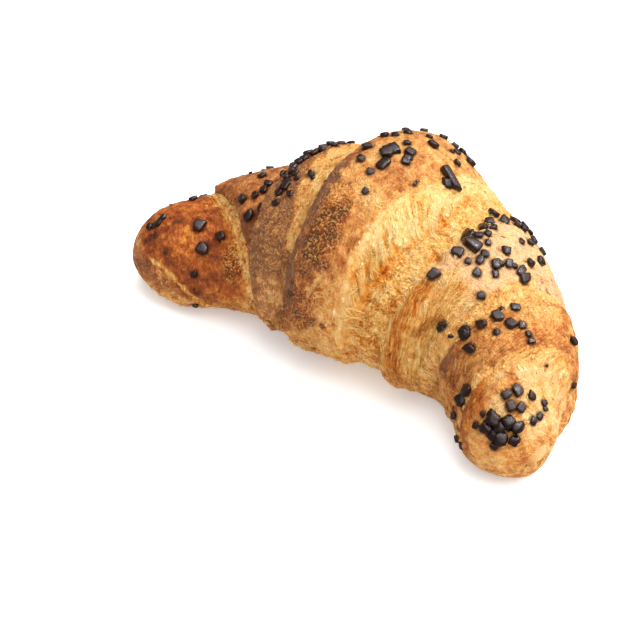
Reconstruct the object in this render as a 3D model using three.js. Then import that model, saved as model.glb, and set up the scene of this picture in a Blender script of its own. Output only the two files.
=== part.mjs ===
// Whole chocolate croissant: one closed body of pastry, rolled in overlapping layers.
// Millimetres. +X runs along the chord from the left horn to the right horn, +Y towards
// the bulging side, -Y towards the hollow side, +Z up. The underside rests on z = 0.
import * as THREE from 'three';

// ---------------------------------------------------------------- driving dimensions
const LENGTH_ALONG = 180; // along the bent centre line, horn tip to horn tip
const START_HEADING = 45; // degrees, direction of the centre line at the left horn
const EVEN_TURN = 0.45; // degrees of bend for each millimetre
const HORN_CURL = 39; // extra degrees by which the right horn curls in
const CURL_START = 116; // where that curl begins along the centre line

const HORN_HALF_WIDTH = 15;
const BELLY_HALF_WIDTH = 37.0;
const HORN_HEIGHT = 26;
const BELLY_HEIGHT = 62.5;
const BELLY_AT = 88.5; // place of the fullest section along the centre line
const LEFT_SPREAD = 51; // how far the belly's fullness reaches to either side
const RIGHT_SPREAD = 61;
const LEFT_CAP = 27; // length of the rounded end of each horn
const RIGHT_CAP = 16.5;
const HOLLOW_SHARE = 0.89; // width on the hollow side, as a share of the other side's
const WIDEST_LEVEL = 0.42; // height of the widest line, as a share of the height
const SINK = 2.4; // how much of the round underside is pressed flat
const LOWER_FULLNESS = 0.9; // 1 for an elliptic lower half, less for a squarer one

// Layer edges, left to right. crown, inner and outer are their places along the centre
// line on top, on the hollow side and on the bulging side; bow bends the line between
// these. soft is the half width of the step, tuck how far the upper layer laps over the
// lower one, positive where the upper layer is the right one.
const EDGES = [
  { crown: 33.5, inner: 50, outer: 26, bow: 0, soft: 1.0, tuck: 0.6 },
  { crown: 55.5, inner: 53.5, outer: 60, bow: 4, soft: 1.3, tuck: 2.4 },
  { crown: 77, inner: 69.3, outer: 83, bow: 0, soft: 1.2, tuck: 2.0 },
  { crown: 105, inner: 98, outer: 97, bow: 5, soft: 1.6, tuck: 0 },
  { crown: 111.5, inner: 101, outer: 110, bow: -2.5, soft: 1.2, tuck: -1.8 },
  { crown: 120.8, inner: 117.5, outer: 113.5, bow: 0, soft: 2.2, tuck: 0 },
  { crown: 142, inner: 139, outer: 138, bow: -3, soft: 1.6, tuck: -1.0 },
  { crown: 161.5, inner: 168, outer: 157, bow: -1, soft: 2.2, tuck: -0.8 },
];

// Layers between those edges: height over the smooth body where the layer starts and
// where it ends, how far it puffs up between, and what the bulging side (outer) and the
// hollow side (inner) have on top of that.
const LAYERS = [
  { start: 0.4, end: -0.5, puff: 2.2, outer: -0.4, inner: 0.8 },
  { start: 0.5, end: -1.0, puff: 3.1, outer: -0.5, inner: -2.5 },
  { start: 3.1, end: -0.8, puff: 0.8, outer: 0.4, inner: 0.4 },
  { start: 3.5, end: 2.4, puff: 2.4, outer: 0.6, inner: 0.0 },
  { start: 1.0, end: 0.6, puff: 0.3, outer: 1.4, inner: 0 },
  { start: -2.9, end: -1.6, puff: 0.4, outer: 3.8, inner: 0.9 },
  { start: 1.3, end: 0.2, puff: 1.9, outer: -0.3, inner: 0.8 },
  { start: -1.0, end: 0.9, puff: 1.4, outer: 0.1, inner: -2.4 },
  { start: -1.4, end: 0.0, puff: 1.3, outer: -3.8, inner: -1.2 },
];

const COLUMNS = 46; // facets round the body
const TIP_ROWS = 9; // rows of facets over the left horn and over the right horn's end
const END_ROWS = 7;
const FILL_STEP = 4.6; // largest distance between rows that follow no edge
const EDGE_OFFSETS = [-2.2, -1.2, -0.5, 0, 0.5, 1.2, 2.2]; // rows at an edge, in softs

// ---------------------------------------------------------------- small functions
const radians = (degrees) => (degrees * Math.PI) / 180;
const clamp = (value, low, high) => Math.min(high, Math.max(low, value));

function smooth(value) {
  const t = clamp(value, 0, 1);
  return t * t * (3 - 2 * t);
}

// ---------------------------------------------------------------- centre line
const LINE_STEP = 0.5;

function drawCentreLine() {
  const line = [];
  let x = 0;
  let y = 0;
  for (let along = 0; along <= LENGTH_ALONG + LINE_STEP; along += LINE_STEP) {
    const curl = smooth((along - CURL_START) / (LENGTH_ALONG - CURL_START));
    const heading = radians(START_HEADING - EVEN_TURN * along - HORN_CURL * curl);
    line.push({ x, y, heading });
    x += Math.cos(heading) * LINE_STEP;
    y += Math.sin(heading) * LINE_STEP;
  }
  return line;
}

const centreLine = drawCentreLine();

function placeAt(along) {
  const position = along / LINE_STEP;
  const before = Math.min(Math.floor(position), centreLine.length - 2);
  const share = position - before;
  const a = centreLine[before];
  const b = centreLine[before + 1];
  return {
    x: a.x + (b.x - a.x) * share,
    y: a.y + (b.y - a.y) * share,
    heading: a.heading + (b.heading - a.heading) * share,
  };
}

// ---------------------------------------------------------------- layers
function edgeAt(edge, angle) {
  const middle = (edge.outer + edge.inner) / 2;
  const sideways = ((edge.outer - edge.inner) / 2) * Math.sin(angle);
  const downwards = (middle - edge.crown) * (1 - Math.cos(angle));
  return edge.crown + sideways + downwards + edge.bow * Math.sin(2 * angle);
}

// Places where the layers start and end, at this angle round the body.
function layerLimits(angle) {
  return [0, ...EDGES.map((edge) => edgeAt(edge, angle)), LENGTH_ALONG];
}

function layerHeight(layer, from, to, along, angle) {
  const share = clamp((along - from) / (to - from), 0, 1);
  const puff = layer.puff * Math.sin(Math.PI * Math.sqrt(share));
  const outer = layer.outer * smooth(Math.sin(angle) + 0.2);
  const inner = layer.inner * smooth(-1 - 2 * Math.sin(angle));
  return layer.start + (layer.end - layer.start) * share + puff + outer + inner;
}

// Broad unevenness of the dough.
function lumps(along, angle) {
  return 0.7 * Math.sin(along / 7.1 + 1.3 * Math.sin(angle) + 0.6)
    + 0.6 * Math.sin(along / 12.7 - 2 * angle + 2.1)
    + 0.4 * Math.sin(along / 4.9 + 3 * angle);
}

// Height of the layers over the smooth body, and the shift along the centre line that
// makes an edge lap over the layer under it.
function relief(along, angle) {
  const limits = layerLimits(angle);
  let height = layerHeight(LAYERS[0], limits[0], limits[1], along, angle);
  height += lumps(along, angle);
  let shift = 0;
  EDGES.forEach((edge, k) => {
    const before = layerHeight(LAYERS[k], limits[k], limits[k + 1], along, angle);
    const after = layerHeight(LAYERS[k + 1], limits[k + 1], limits[k + 2], along, angle);
    const across = (along - limits[k + 1]) / edge.soft;
    height += (after - before) * (0.5 + 0.5 * Math.tanh(1.3 * across));
    shift -= edge.tuck * across * Math.exp((1 - across * across) / 2);
  });
  return { height, shift };
}

// The relief fades out where the body is pressed on its underside.
function reliefShare(angle) {
  return 1 - smooth((Math.abs(angle) / Math.PI - 0.62) / 0.2);
}

// ---------------------------------------------------------------- sections
// Fullness of the belly: one at its middle, fading towards both horns.
function fullness(along) {
  const spread = along < BELLY_AT ? LEFT_SPREAD : RIGHT_SPREAD;
  return Math.exp(-(((along - BELLY_AT) / spread) ** 2));
}

// Share of the full section left near a horn tip, which closes as a round cap.
function closing(along) {
  const left = clamp(1 - along / LEFT_CAP, 0, 1);
  const right = clamp(1 - (LENGTH_ALONG - along) / RIGHT_CAP, 0, 1);
  return Math.sqrt(1 - left * left - right * right);
}

function surfacePoint(along, angle) {
  const share = reliefShare(angle);
  const layers = relief(along, angle);
  const at = clamp(along + layers.shift * share, 0, LENGTH_ALONG);
  const place = placeAt(at);
  const halfWidth = THREE.MathUtils.lerp(HORN_HALF_WIDTH, BELLY_HALF_WIDTH, fullness(at));
  const height = THREE.MathUtils.lerp(HORN_HEIGHT, BELLY_HEIGHT, fullness(at));
  const widest = WIDEST_LEVEL * height;
  const sine = Math.sin(angle);
  const cosine = Math.cos(angle);
  const upper = cosine > 0;
  const reach = upper ? height - widest : widest + SINK;
  const roundSide = upper ? sine : Math.sign(sine) * Math.abs(sine) ** LOWER_FULLNESS;
  const roundUp = upper ? cosine : -(Math.abs(cosine) ** LOWER_FULLNESS);
  const closed = closing(at);
  const lift = layers.height * share * closed;
  const outward = new THREE.Vector2(sine * reach, cosine * halfWidth).normalize();
  const side = sine < 0 ? HOLLOW_SHARE : 1;
  const sideways = halfWidth * closed * side * roundSide + outward.x * lift;
  const up = widest + reach * closed * roundUp + outward.y * lift;
  return new THREE.Vector3(
    place.x - Math.sin(place.heading) * sideways,
    place.y + Math.cos(place.heading) * sideways,
    Math.max(up, 0),
  );
}

// ---------------------------------------------------------------- rows of facets
// Rows between two neighbouring edges, the same number at every angle.
function fillCount(k) {
  const angles = [-0.5, 0, 0.5, 1].map((turn) => turn * Math.PI);
  const widest = Math.max(...angles.map((angle) => {
    const limits = layerLimits(angle);
    return limits[k + 1] - limits[k];
  }));
  return Math.max(0, Math.round((widest - 5) / FILL_STEP));
}

const FILL_COUNTS = EDGES.map((edge, k) => (k > 0 ? fillCount(k) : 0));

// Places along the centre line of every row, at this angle. Rows keep their place next
// to the layer edges, so that the edges stay sharp all the way round.
function rowPlaces(angle) {
  const limits = layerLimits(angle);
  const rows = [];
  EDGES.forEach((edge, k) => {
    const gapBefore = limits[k + 1] - limits[k];
    const gapAfter = limits[k + 2] - limits[k + 1];
    const reach = EDGE_OFFSETS[EDGE_OFFSETS.length - 1];
    const room = Math.min(edge.soft, (0.42 * gapBefore) / reach, (0.42 * gapAfter) / reach);
    const cluster = EDGE_OFFSETS.map((offset) => limits[k + 1] + offset * room);
    if (k === 0) {
      for (let row = 1; row <= TIP_ROWS; row += 1) {
        rows.push(cluster[0] * (1 - Math.cos((row / (TIP_ROWS + 1)) * (Math.PI / 2))));
      }
    }
    const last = rows[rows.length - 1];
    for (let row = 1; row <= FILL_COUNTS[k]; row += 1) {
      rows.push(last + ((cluster[0] - last) * row) / (FILL_COUNTS[k] + 1));
    }
    rows.push(...cluster);
  });
  const start = rows[rows.length - 1];
  for (let row = 1; row <= END_ROWS; row += 1) {
    const turned = (row / (END_ROWS + 1)) * (Math.PI / 2);
    rows.push(start + (LENGTH_ALONG - start) * Math.sin(turned));
  }
  return rows;
}

// ---------------------------------------------------------------- closed body
function buildBody() {
  const points = [];
  let rowCount = 0;
  for (let column = 0; column < COLUMNS; column += 1) {
    const angle = ((column + 0.5) / COLUMNS) * 2 * Math.PI - Math.PI;
    const places = rowPlaces(angle);
    rowCount = places.length;
    points.push(...places.map((along) => surfacePoint(along, angle)));
  }
  const leftTip = points.push(surfacePoint(0, 0)) - 1;
  const rightTip = points.push(surfacePoint(LENGTH_ALONG, 0)) - 1;
  const faces = [];
  for (let column = 0; column < COLUMNS; column += 1) {
    const here = column * rowCount;
    const next = ((column + 1) % COLUMNS) * rowCount;
    for (let row = 0; row < rowCount - 1; row += 1) {
      faces.push(here + row, here + row + 1, next + row + 1);
      faces.push(here + row, next + row + 1, next + row);
    }
    faces.push(leftTip, here, next);
    faces.push(rightTip, next + rowCount - 1, here + rowCount - 1);
  }
  // The origin is the middle of the outline, seen from above.
  const box = new THREE.Box3().setFromPoints(points);
  const middle = box.getCenter(new THREE.Vector3());
  points.forEach((point) => point.set(point.x - middle.x, point.y - middle.y, point.z));
  const geometry = new THREE.BufferGeometry().setFromPoints(points);
  geometry.setIndex(faces);
  geometry.computeVertexNormals();
  return geometry;
}

const crust = new THREE.MeshStandardMaterial({ color: 0xc98a4b, roughness: 0.45, metalness: 0 });
const croissant = new THREE.Mesh(buildBody(), crust);
croissant.name = 'croissant';

const group = new THREE.Group();
group.name = 'chocolate_croissant';
group.add(croissant);

export default group;
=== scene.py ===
"""Looks of a whole chocolate croissant: rolled flaky pastry with dark chocolate pieces.

Lengths are millimetres until a mesh is made, which is in metres. A place on the pastry is
(along, angle): along runs on the bent centre line from the left horn tip, and angle turns
round the body from the crown (0) towards the bulging side (+90 degrees) or the hollow
side (-90 degrees). Both are the coordinates that the CAD body is lofted in.
"""

import math
from types import SimpleNamespace

import bpy
import numpy as np
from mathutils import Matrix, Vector


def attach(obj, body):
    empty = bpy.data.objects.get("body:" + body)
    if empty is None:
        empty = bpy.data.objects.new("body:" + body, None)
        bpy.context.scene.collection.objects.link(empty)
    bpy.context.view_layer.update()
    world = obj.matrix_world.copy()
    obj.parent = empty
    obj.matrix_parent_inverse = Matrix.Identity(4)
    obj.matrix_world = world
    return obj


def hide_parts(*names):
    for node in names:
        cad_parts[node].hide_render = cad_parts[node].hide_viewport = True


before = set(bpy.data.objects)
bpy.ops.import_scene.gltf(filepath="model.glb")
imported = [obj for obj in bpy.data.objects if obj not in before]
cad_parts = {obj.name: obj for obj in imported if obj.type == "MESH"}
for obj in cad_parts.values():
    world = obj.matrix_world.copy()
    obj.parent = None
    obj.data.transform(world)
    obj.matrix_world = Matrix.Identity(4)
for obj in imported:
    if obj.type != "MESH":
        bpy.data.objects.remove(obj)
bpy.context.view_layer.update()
NODE = "croissant"
BODY = "root"
MM = 0.001

# ---- the body's dimensions
# Headings and curl are in degrees, EVEN_TURN in degrees per mm. HOLLOW_SHARE is the half
# width of the hollow side beside the bulging one, WIDEST_LEVEL a share of the height, and
# SINK how far the round body would reach below the floor that presses it flat.
LENGTH_ALONG = 180.0
START_HEADING = 45.0
EVEN_TURN = 0.45
HORN_CURL = 39.0
CURL_START = 116.0
HORN_HALF_WIDTH = 15.0
BELLY_HALF_WIDTH = 37.0
HORN_HEIGHT = 26.0
BELLY_HEIGHT = 62.5
BELLY_AT = 88.5
LEFT_SPREAD = 51.0
RIGHT_SPREAD = 61.0
LEFT_CAP = 27.0
RIGHT_CAP = 16.5
HOLLOW_SHARE = 0.89
WIDEST_LEVEL = 0.42
SINK = 2.4
LOWER_FULLNESS = 0.9

# Layer edges from left to right: places on the crown, the hollow (inner) side and the
# bulging (outer) side, bow between them, half width of the step, lap over the layer
# beneath, raggedness, and the width over which the looks blend.
EDGE_COLUMNS = ("crown", "inner", "outer", "bow", "soft", "tuck", "ragged", "blend")
EDGES = [dict(zip(EDGE_COLUMNS, row)) for row in (
    (33.5, 50, 26, 0, 0.9, 0.7, 0.45, 0.7),
    (55.5, 53.5, 60, 4, 1.3, 2.4, 0.5, 0.3),
    (77, 69.3, 83, 0, 1.2, 2.0, 0.45, 0.3),
    (105, 98, 97, 5, 3.5, 0, 1.4, 9.0),
    (111.5, 101, 110, -2.5, 1.6, -0.6, 1.7, 0.5),
    (120.8, 117.5, 113.5, 0, 2.2, 0, 1.2, 7.0),
    (142, 139, 138, -3, 1.6, -0.8, 0.5, 2.5),
    (161.5, 168, 157, -1, 2.2, -0.6, 0.5, 3.0),
)]

# Looks go from 0 to 1: bake from cream to dark brown, which also carries painted shade in
# creases and hollows; grey glaze, which turns to a rosy painted sheen on pale crust; amber
# glaze, which also carries painted warm shade; flecks, fibre, fluff and gloss.
LOOKS = ("bake", "grey", "amber", "fleck", "fibre", "fluff", "gloss")
# Layers between those edges: heights over the smooth body where the layer starts and ends,
# of the puff between, and extra on the outer and the inner side, then the looks. lean
# turns the fibres away from the layer edges.
LAYER_COLUMNS = ("name", "start", "end", "puff", "outer", "inner", *LOOKS, "lean")
# On the paler layers, such as the fifth turn and the right horn, the grey glaze look paints a rosy
# sheen.
LAYERS = [dict(zip(LAYER_COLUMNS, row)) for row in (
    ("left_horn", 0.4, -0.5, 2.2, -0.4, 0.8, 0.65, 0.0, 1.0, 0.1, 0.1, 0.0, 0.65, 0.0),
    ("second_turn", 0.5, -1.0, 3.1, -0.5, -2.5, 0.58, 0.2, 0.5, 0.1, 0.15, 0.0, 0.7, 0.1),
    ("third_turn", 3.1, -0.8, 0.8, 0.4, 0.4, 0.73, 0.6, 0.0, 0.45, 0.3, 0.0, 0.35, 0.1),
    ("crown_turn", 3.5, 2.4, 2.4, 0.6, 0.0, 0.42, 0.15, 0.3, 0.1, 0.2, 0.0, 0.9, 0.2),
    ("torn_sheet", 1.0, 0.6, 0.3, 1.4, 0.0, 0.02, 0.0, 0.0, 0.0, 1.0, 0.3, 0.1, 0.75),
    ("torn_bed", -2.9, -1.6, 0.4, 3.8, 0.9, 0.16, 0.0, 0.0, 0.0, 0.3, 1.0, 0.1, 0.35),
    ("fifth_turn", 1.3, 0.2, 1.9, -0.3, 0.8, 0.28, 0.3, 0.0, 0.1, 0.35, 0.2, 0.6, 0.25),
    ("sixth_turn", -1.0, 0.9, 1.4, 0.1, -2.4, 0.44, 0.15, 0.35, 0.15, 0.4, 0.1, 0.5, 0.3),
    ("right_horn", -1.4, 0.0, 1.3, -3.8, -1.2, 0.21, 0.4, 0.1, 0.15, 0.35, 0.1, 0.6, 0.1),
)]
NARROWEST_LAYER = 0.6


# ---- small functions
def smooth(value):
    """Eases from 0 to 1 while the value goes from 0 to 1."""
    t = np.clip(value, 0.0, 1.0)
    return t * t * (3 - 2 * t)


def unit(vectors):
    """The same directions with length 1."""
    return vectors / np.maximum(np.linalg.norm(vectors, axis=-1, keepdims=True), 1e-9)


def quads(near, far):
    """Faces between two grids of point numbers, from each row to the next."""
    corners = [near[..., :-1, :], near[..., 1:, :], far[..., 1:, :], far[..., :-1, :]]
    return np.stack(corners, -1).reshape(-1, 4)


GRADIENTS = np.array([
    (1, 1, 0), (-1, 1, 0), (1, -1, 0), (-1, -1, 0),
    (1, 0, 1), (-1, 0, 1), (1, 0, -1), (-1, 0, -1),
    (0, 1, 1), (0, -1, 1), (0, 1, -1), (0, -1, -1),
    (1, 1, 0), (-1, 1, 0), (0, -1, 1), (0, -1, -1),
], dtype=np.float32)
HASH_STEPS = (73856093, 19349663, 83492791)


def noise(points, seed):
    """Smooth repeatable noise from about -1 to 1, one lattice cell per unit of points."""
    cell = np.floor(points)
    local = (points - cell).astype(np.float32)
    fade = local ** 3 * (local * (local * 6 - 15) + 10)
    cell = cell.astype(np.int32).astype(np.uint32)
    hashes = [[(cell[..., axis] + np.uint32(side)) * np.uint32(step) for side in (0, 1)]
              for axis, step in enumerate(HASH_STEPS)]
    total = np.zeros(points.shape[:-1], dtype=np.float32)
    for corner in np.ndindex(2, 2, 2):
        mixed = np.uint32(seed * 2654435761 % 2**32)
        weight = 1.0
        for axis, side in enumerate(corner):
            mixed = mixed ^ hashes[axis][side]
            weight = weight * (fade[..., axis] if side else 1 - fade[..., axis])
        mixed = (mixed ^ (mixed >> np.uint32(13))) * np.uint32(1274126177)
        slope = GRADIENTS[(mixed ^ (mixed >> np.uint32(16))) & np.uint32(15)]
        total += weight * sum(slope[..., k] * (local[..., k] - corner[k]) for k in range(3))
    return total * 1.5


def layered_noise(points, seed, octaves=3):
    """Noise with finer and weaker noise added on top."""
    return sum(noise(points * 2.0 ** k, seed + k) * 0.5 ** k for k in range(octaves))


def ridges(value):
    """Narrow crests where the noise crosses zero, wide valleys between."""
    return 1 - np.minimum(np.abs(value) * 2.2, 1)


# ---- smooth body
def centre_line():
    """Places, x, y and headings down the middle of the croissant."""
    step = 0.5
    along = np.arange(0, LENGTH_ALONG + step, step)
    curl = smooth((along - CURL_START) / (LENGTH_ALONG - CURL_START))
    heading = np.radians(START_HEADING - EVEN_TURN * along - HORN_CURL * curl)
    x = np.concatenate([[0], np.cumsum(np.cos(heading) * step)[:-1]])
    y = np.concatenate([[0], np.cumsum(np.sin(heading) * step)[:-1]])
    return along, x, y, heading


LINE = centre_line()
RING = np.linspace(-np.pi, np.pi, 1441)


def edge_wander(k):
    """Raggedness of one layer edge at the angles of RING."""
    ring = np.stack([np.sin(RING), np.cos(RING), np.full_like(RING, k * 7.3)], -1)
    return noise(ring * 2.2, 11) + 0.5 * noise(ring * 6.5, 12) + 0.35 * noise(ring * 17, 13)


WANDER = [edge["ragged"] * edge_wander(k) for k, edge in enumerate(EDGES)]


def edge_line(k, angle):
    """Place of one layer edge, with its raggedness, at these angles."""
    edge = EDGES[k]
    middle = (edge["outer"] + edge["inner"]) / 2
    sideways = (edge["outer"] - edge["inner"]) / 2 * np.sin(angle)
    downwards = (middle - edge["crown"]) * (1 - np.cos(angle))
    bow = edge["bow"] * np.sin(2 * angle)
    wander = np.interp(angle, RING, WANDER[k], period=2 * np.pi)
    return edge["crown"] + sideways + downwards + bow + wander


def layer_limits(angle):
    """Where each layer starts and the last one ends, at these angles."""
    limits = [np.zeros_like(angle)]
    for k in range(len(EDGES)):
        limits.append(np.maximum(edge_line(k, angle), limits[-1] + NARROWEST_LAYER))
    return [*limits, np.full_like(angle, LENGTH_ALONG)]


def layer_height(layer, start, end, along, angle):
    """Height of one layer over the smooth body."""
    share = np.clip((along - start) / (end - start), 0, 1)
    puff = layer["puff"] * np.sin(np.pi * np.sqrt(share))
    outer = layer["outer"] * smooth(np.sin(angle) + 0.2)
    inner = layer["inner"] * smooth(-1 - 2 * np.sin(angle))
    return layer["start"] + (layer["end"] - layer["start"]) * share + puff + outer + inner


def lumps(along, angle):
    """Broad unevenness of the dough."""
    return (0.7 * np.sin(along / 7.1 + 1.3 * np.sin(angle) + 0.6)
            + 0.6 * np.sin(along / 12.7 - 2 * angle + 2.1)
            + 0.4 * np.sin(along / 4.9 + 3 * angle))


def layer_relief(along, angle, limits):
    """Height of the layers, and the shift along that makes each edge lap over."""
    heights = [layer_height(layer, limits[k], limits[k + 1], along, angle)
               for k, layer in enumerate(LAYERS)]
    height = heights[0] + lumps(along, angle)
    shift = 0.0
    for k, edge in enumerate(EDGES):
        across = (along - limits[k + 1]) / edge["soft"]
        step = heights[k + 1] - heights[k]
        height = height + step * (0.5 + 0.5 * np.tanh(1.3 * across))
        shift = shift - edge["tuck"] * across * np.exp((1 - across * across) / 2)
    return height, shift


def relief_share(angle):
    """The relief fades out where the body is pressed on its underside."""
    return 1 - smooth((np.abs(angle) / np.pi - 0.62) / 0.2)


def swollen(along, horn, belly):
    """A size of the body, which grows from the horns to the belly."""
    spread = np.where(along < BELLY_AT, LEFT_SPREAD, RIGHT_SPREAD)
    return horn + (belly - horn) * np.exp(-((along - BELLY_AT) / spread) ** 2)


def loft(along, angle, limits):
    """Points of the pastry with its layers, before their fine texture."""
    share = relief_share(angle)
    height_up, shift = layer_relief(along, angle, limits)
    at = np.clip(along + shift * share, 0, LENGTH_ALONG)
    x, y, heading = (np.interp(at, LINE[0], values) for values in LINE[1:])
    half_width = swollen(at, HORN_HALF_WIDTH, BELLY_HALF_WIDTH)
    height = swollen(at, HORN_HEIGHT, BELLY_HEIGHT)
    widest = WIDEST_LEVEL * height
    sine = np.sin(angle)
    cosine = np.cos(angle)
    upper = cosine > 0
    reach = np.where(upper, height - widest, widest + SINK)
    round_side = np.where(upper, sine, np.sign(sine) * np.abs(sine) ** LOWER_FULLNESS)
    round_up = np.where(upper, cosine, -np.abs(cosine) ** LOWER_FULLNESS)
    left = np.clip(1 - at / LEFT_CAP, 0, 1)
    right = np.clip(1 - (LENGTH_ALONG - at) / RIGHT_CAP, 0, 1)
    closed = np.sqrt(np.clip(1 - left ** 2 - right ** 2, 0, 1))
    lift = height_up * share * closed
    out_side = sine * reach
    out_up = cosine * half_width
    size = np.hypot(out_side, out_up)
    side = np.where(sine < 0, HOLLOW_SHARE, 1.0)
    sideways = half_width * closed * side * round_side + out_side / size * lift
    up = widest + reach * closed * round_up + out_up / size * lift
    return np.stack([x - np.sin(heading) * sideways, y + np.cos(heading) * sideways, up], -1)


def body_middle():
    """Middle of the lofted body seen from above, which the CAD puts at the origin."""
    along, angle = np.meshgrid(np.linspace(0, LENGTH_ALONG, 361),
                               np.linspace(-np.pi, np.pi, 181), indexing="ij")
    points = loft(along, angle, layer_limits(angle)).reshape(-1, 3)
    middle = (points.min(0) + points.max(0)) / 2
    return np.array([middle[0], middle[1], 0.0])


MIDDLE = body_middle()


# ---- places on the pastry
CROWN_GAPS = np.diff([0, *(edge["crown"] for edge in EDGES), LENGTH_ALONG]).astype(float)
LEANS = np.array([layer["lean"] for layer in LAYERS])


class Places(SimpleNamespace):
    """Places on the pastry. spot, band and turn give 1 inside and 0 outside, with uneven
    soft borders."""

    def spot(self, at, size, fade=0.5):
        """An oval round at (along, degrees), with size its half axes in mm and degrees."""
        far = np.hypot((self.along - at[0]) / size[0], (self.degrees - at[1]) / size[1])
        return smooth((1 + fade / 2 + 0.3 * self.wobble - far) / fade)

    def band(self, low, high, soft=1.0):
        """Where along lies between low and high."""
        along = self.along + 0.5 * self.wobble
        return smooth((along - low) / soft + 0.5) * smooth((high - along) / soft + 0.5)

    def turn(self, low, high, soft=10.0):
        """Where the angle lies between low and high degrees."""
        turned = self.degrees + 4 * self.wobble
        return smooth((turned - low) / soft + 0.5) * smooth((high - turned) / soft + 0.5)

    def strands(self, width, length, seed):
        """Noise drawn out along the fibres."""
        lattice = [self.across / width, self.arc / length, self.index * 17.3]
        return noise(np.stack(lattice, -1), seed)


def places(along, angle):
    """Everything that the looks and the texture need to know about these places."""
    limits = layer_limits(angle)
    base = loft(along, angle, limits)
    step_along, step_angle = 0.25, 0.006
    on_along = loft(along + step_along, angle, limits) - loft(along - step_along, angle, limits)
    turned = [angle + step_angle, angle - step_angle]
    on_angle = [loft(along, turn, layer_limits(turn)) for turn in turned]
    index = sum((along >= limit).astype(int) for limit in limits[1:-1])
    start, end = (np.take_along_axis(np.stack(limits), index[None] + k, 0)[0] for k in (0, 1))
    radius = swollen(along, HORN_HALF_WIDTH, BELLY_HALF_WIDTH)
    here = Places(
        along=along, angle=angle, degrees=np.degrees(angle), limits=limits, base=base,
        normal=unit(np.cross(on_along, on_angle[0] - on_angle[1])), index=index,
        past=along - start, left=end - along, arc=angle * radius,
        wobble=noise(base / 4.0, 21) + 0.5 * noise(base / 1.6, 22),
    )
    # distance across the fibres, which run nearly parallel to the layer edges
    share = here.past / np.maximum(end - start, 0.1)
    wave = 1.2 * noise(base / 9.0, 91) + 0.35 * noise(base / 3.0, 92)
    here.across = share * CROWN_GAPS[index] + LEANS[index] * here.arc + wave
    return here


# ---- looks of each place
def pale_strips(here):
    """Fresh pastry that shows in strips along some of the layer edges."""
    edge = 0.8 * here.wobble
    left = here.left + edge
    past = here.past + edge
    width = np.interp(here.degrees, [-66, -56, -40, -25, 0, 60], [0, 7, 9.5, 12.5, 13.5, 12])
    on_top = smooth((75 - np.abs(here.degrees)) / 20)
    strips = [(0, 4.4 - left, 1.6, 1), (2, width - left, 1.6, 1), (7, 3.2 - past, 1.6, 1),
              (7, 2.8 - left, 1.8, on_top), (6, 3.2 - left, 1.2, here.turn(-125, 30))]
    return np.clip(sum((here.index == layer) * smooth(inside / soft) * where
                       for layer, inside, soft, where in strips), 0, 1)


def layer_looks(here):
    """Looks of the layers, blended where they meet."""
    look = {name: LAYERS[0][name] + 0 * here.along for name in LOOKS}
    for k, edge in enumerate(EDGES):
        share = smooth((here.along - here.limits[k + 1]) / edge["blend"] + 0.5)
        for name in LOOKS:
            look[name] += (LAYERS[k + 1][name] - LAYERS[k][name]) * share
    return look


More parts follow.
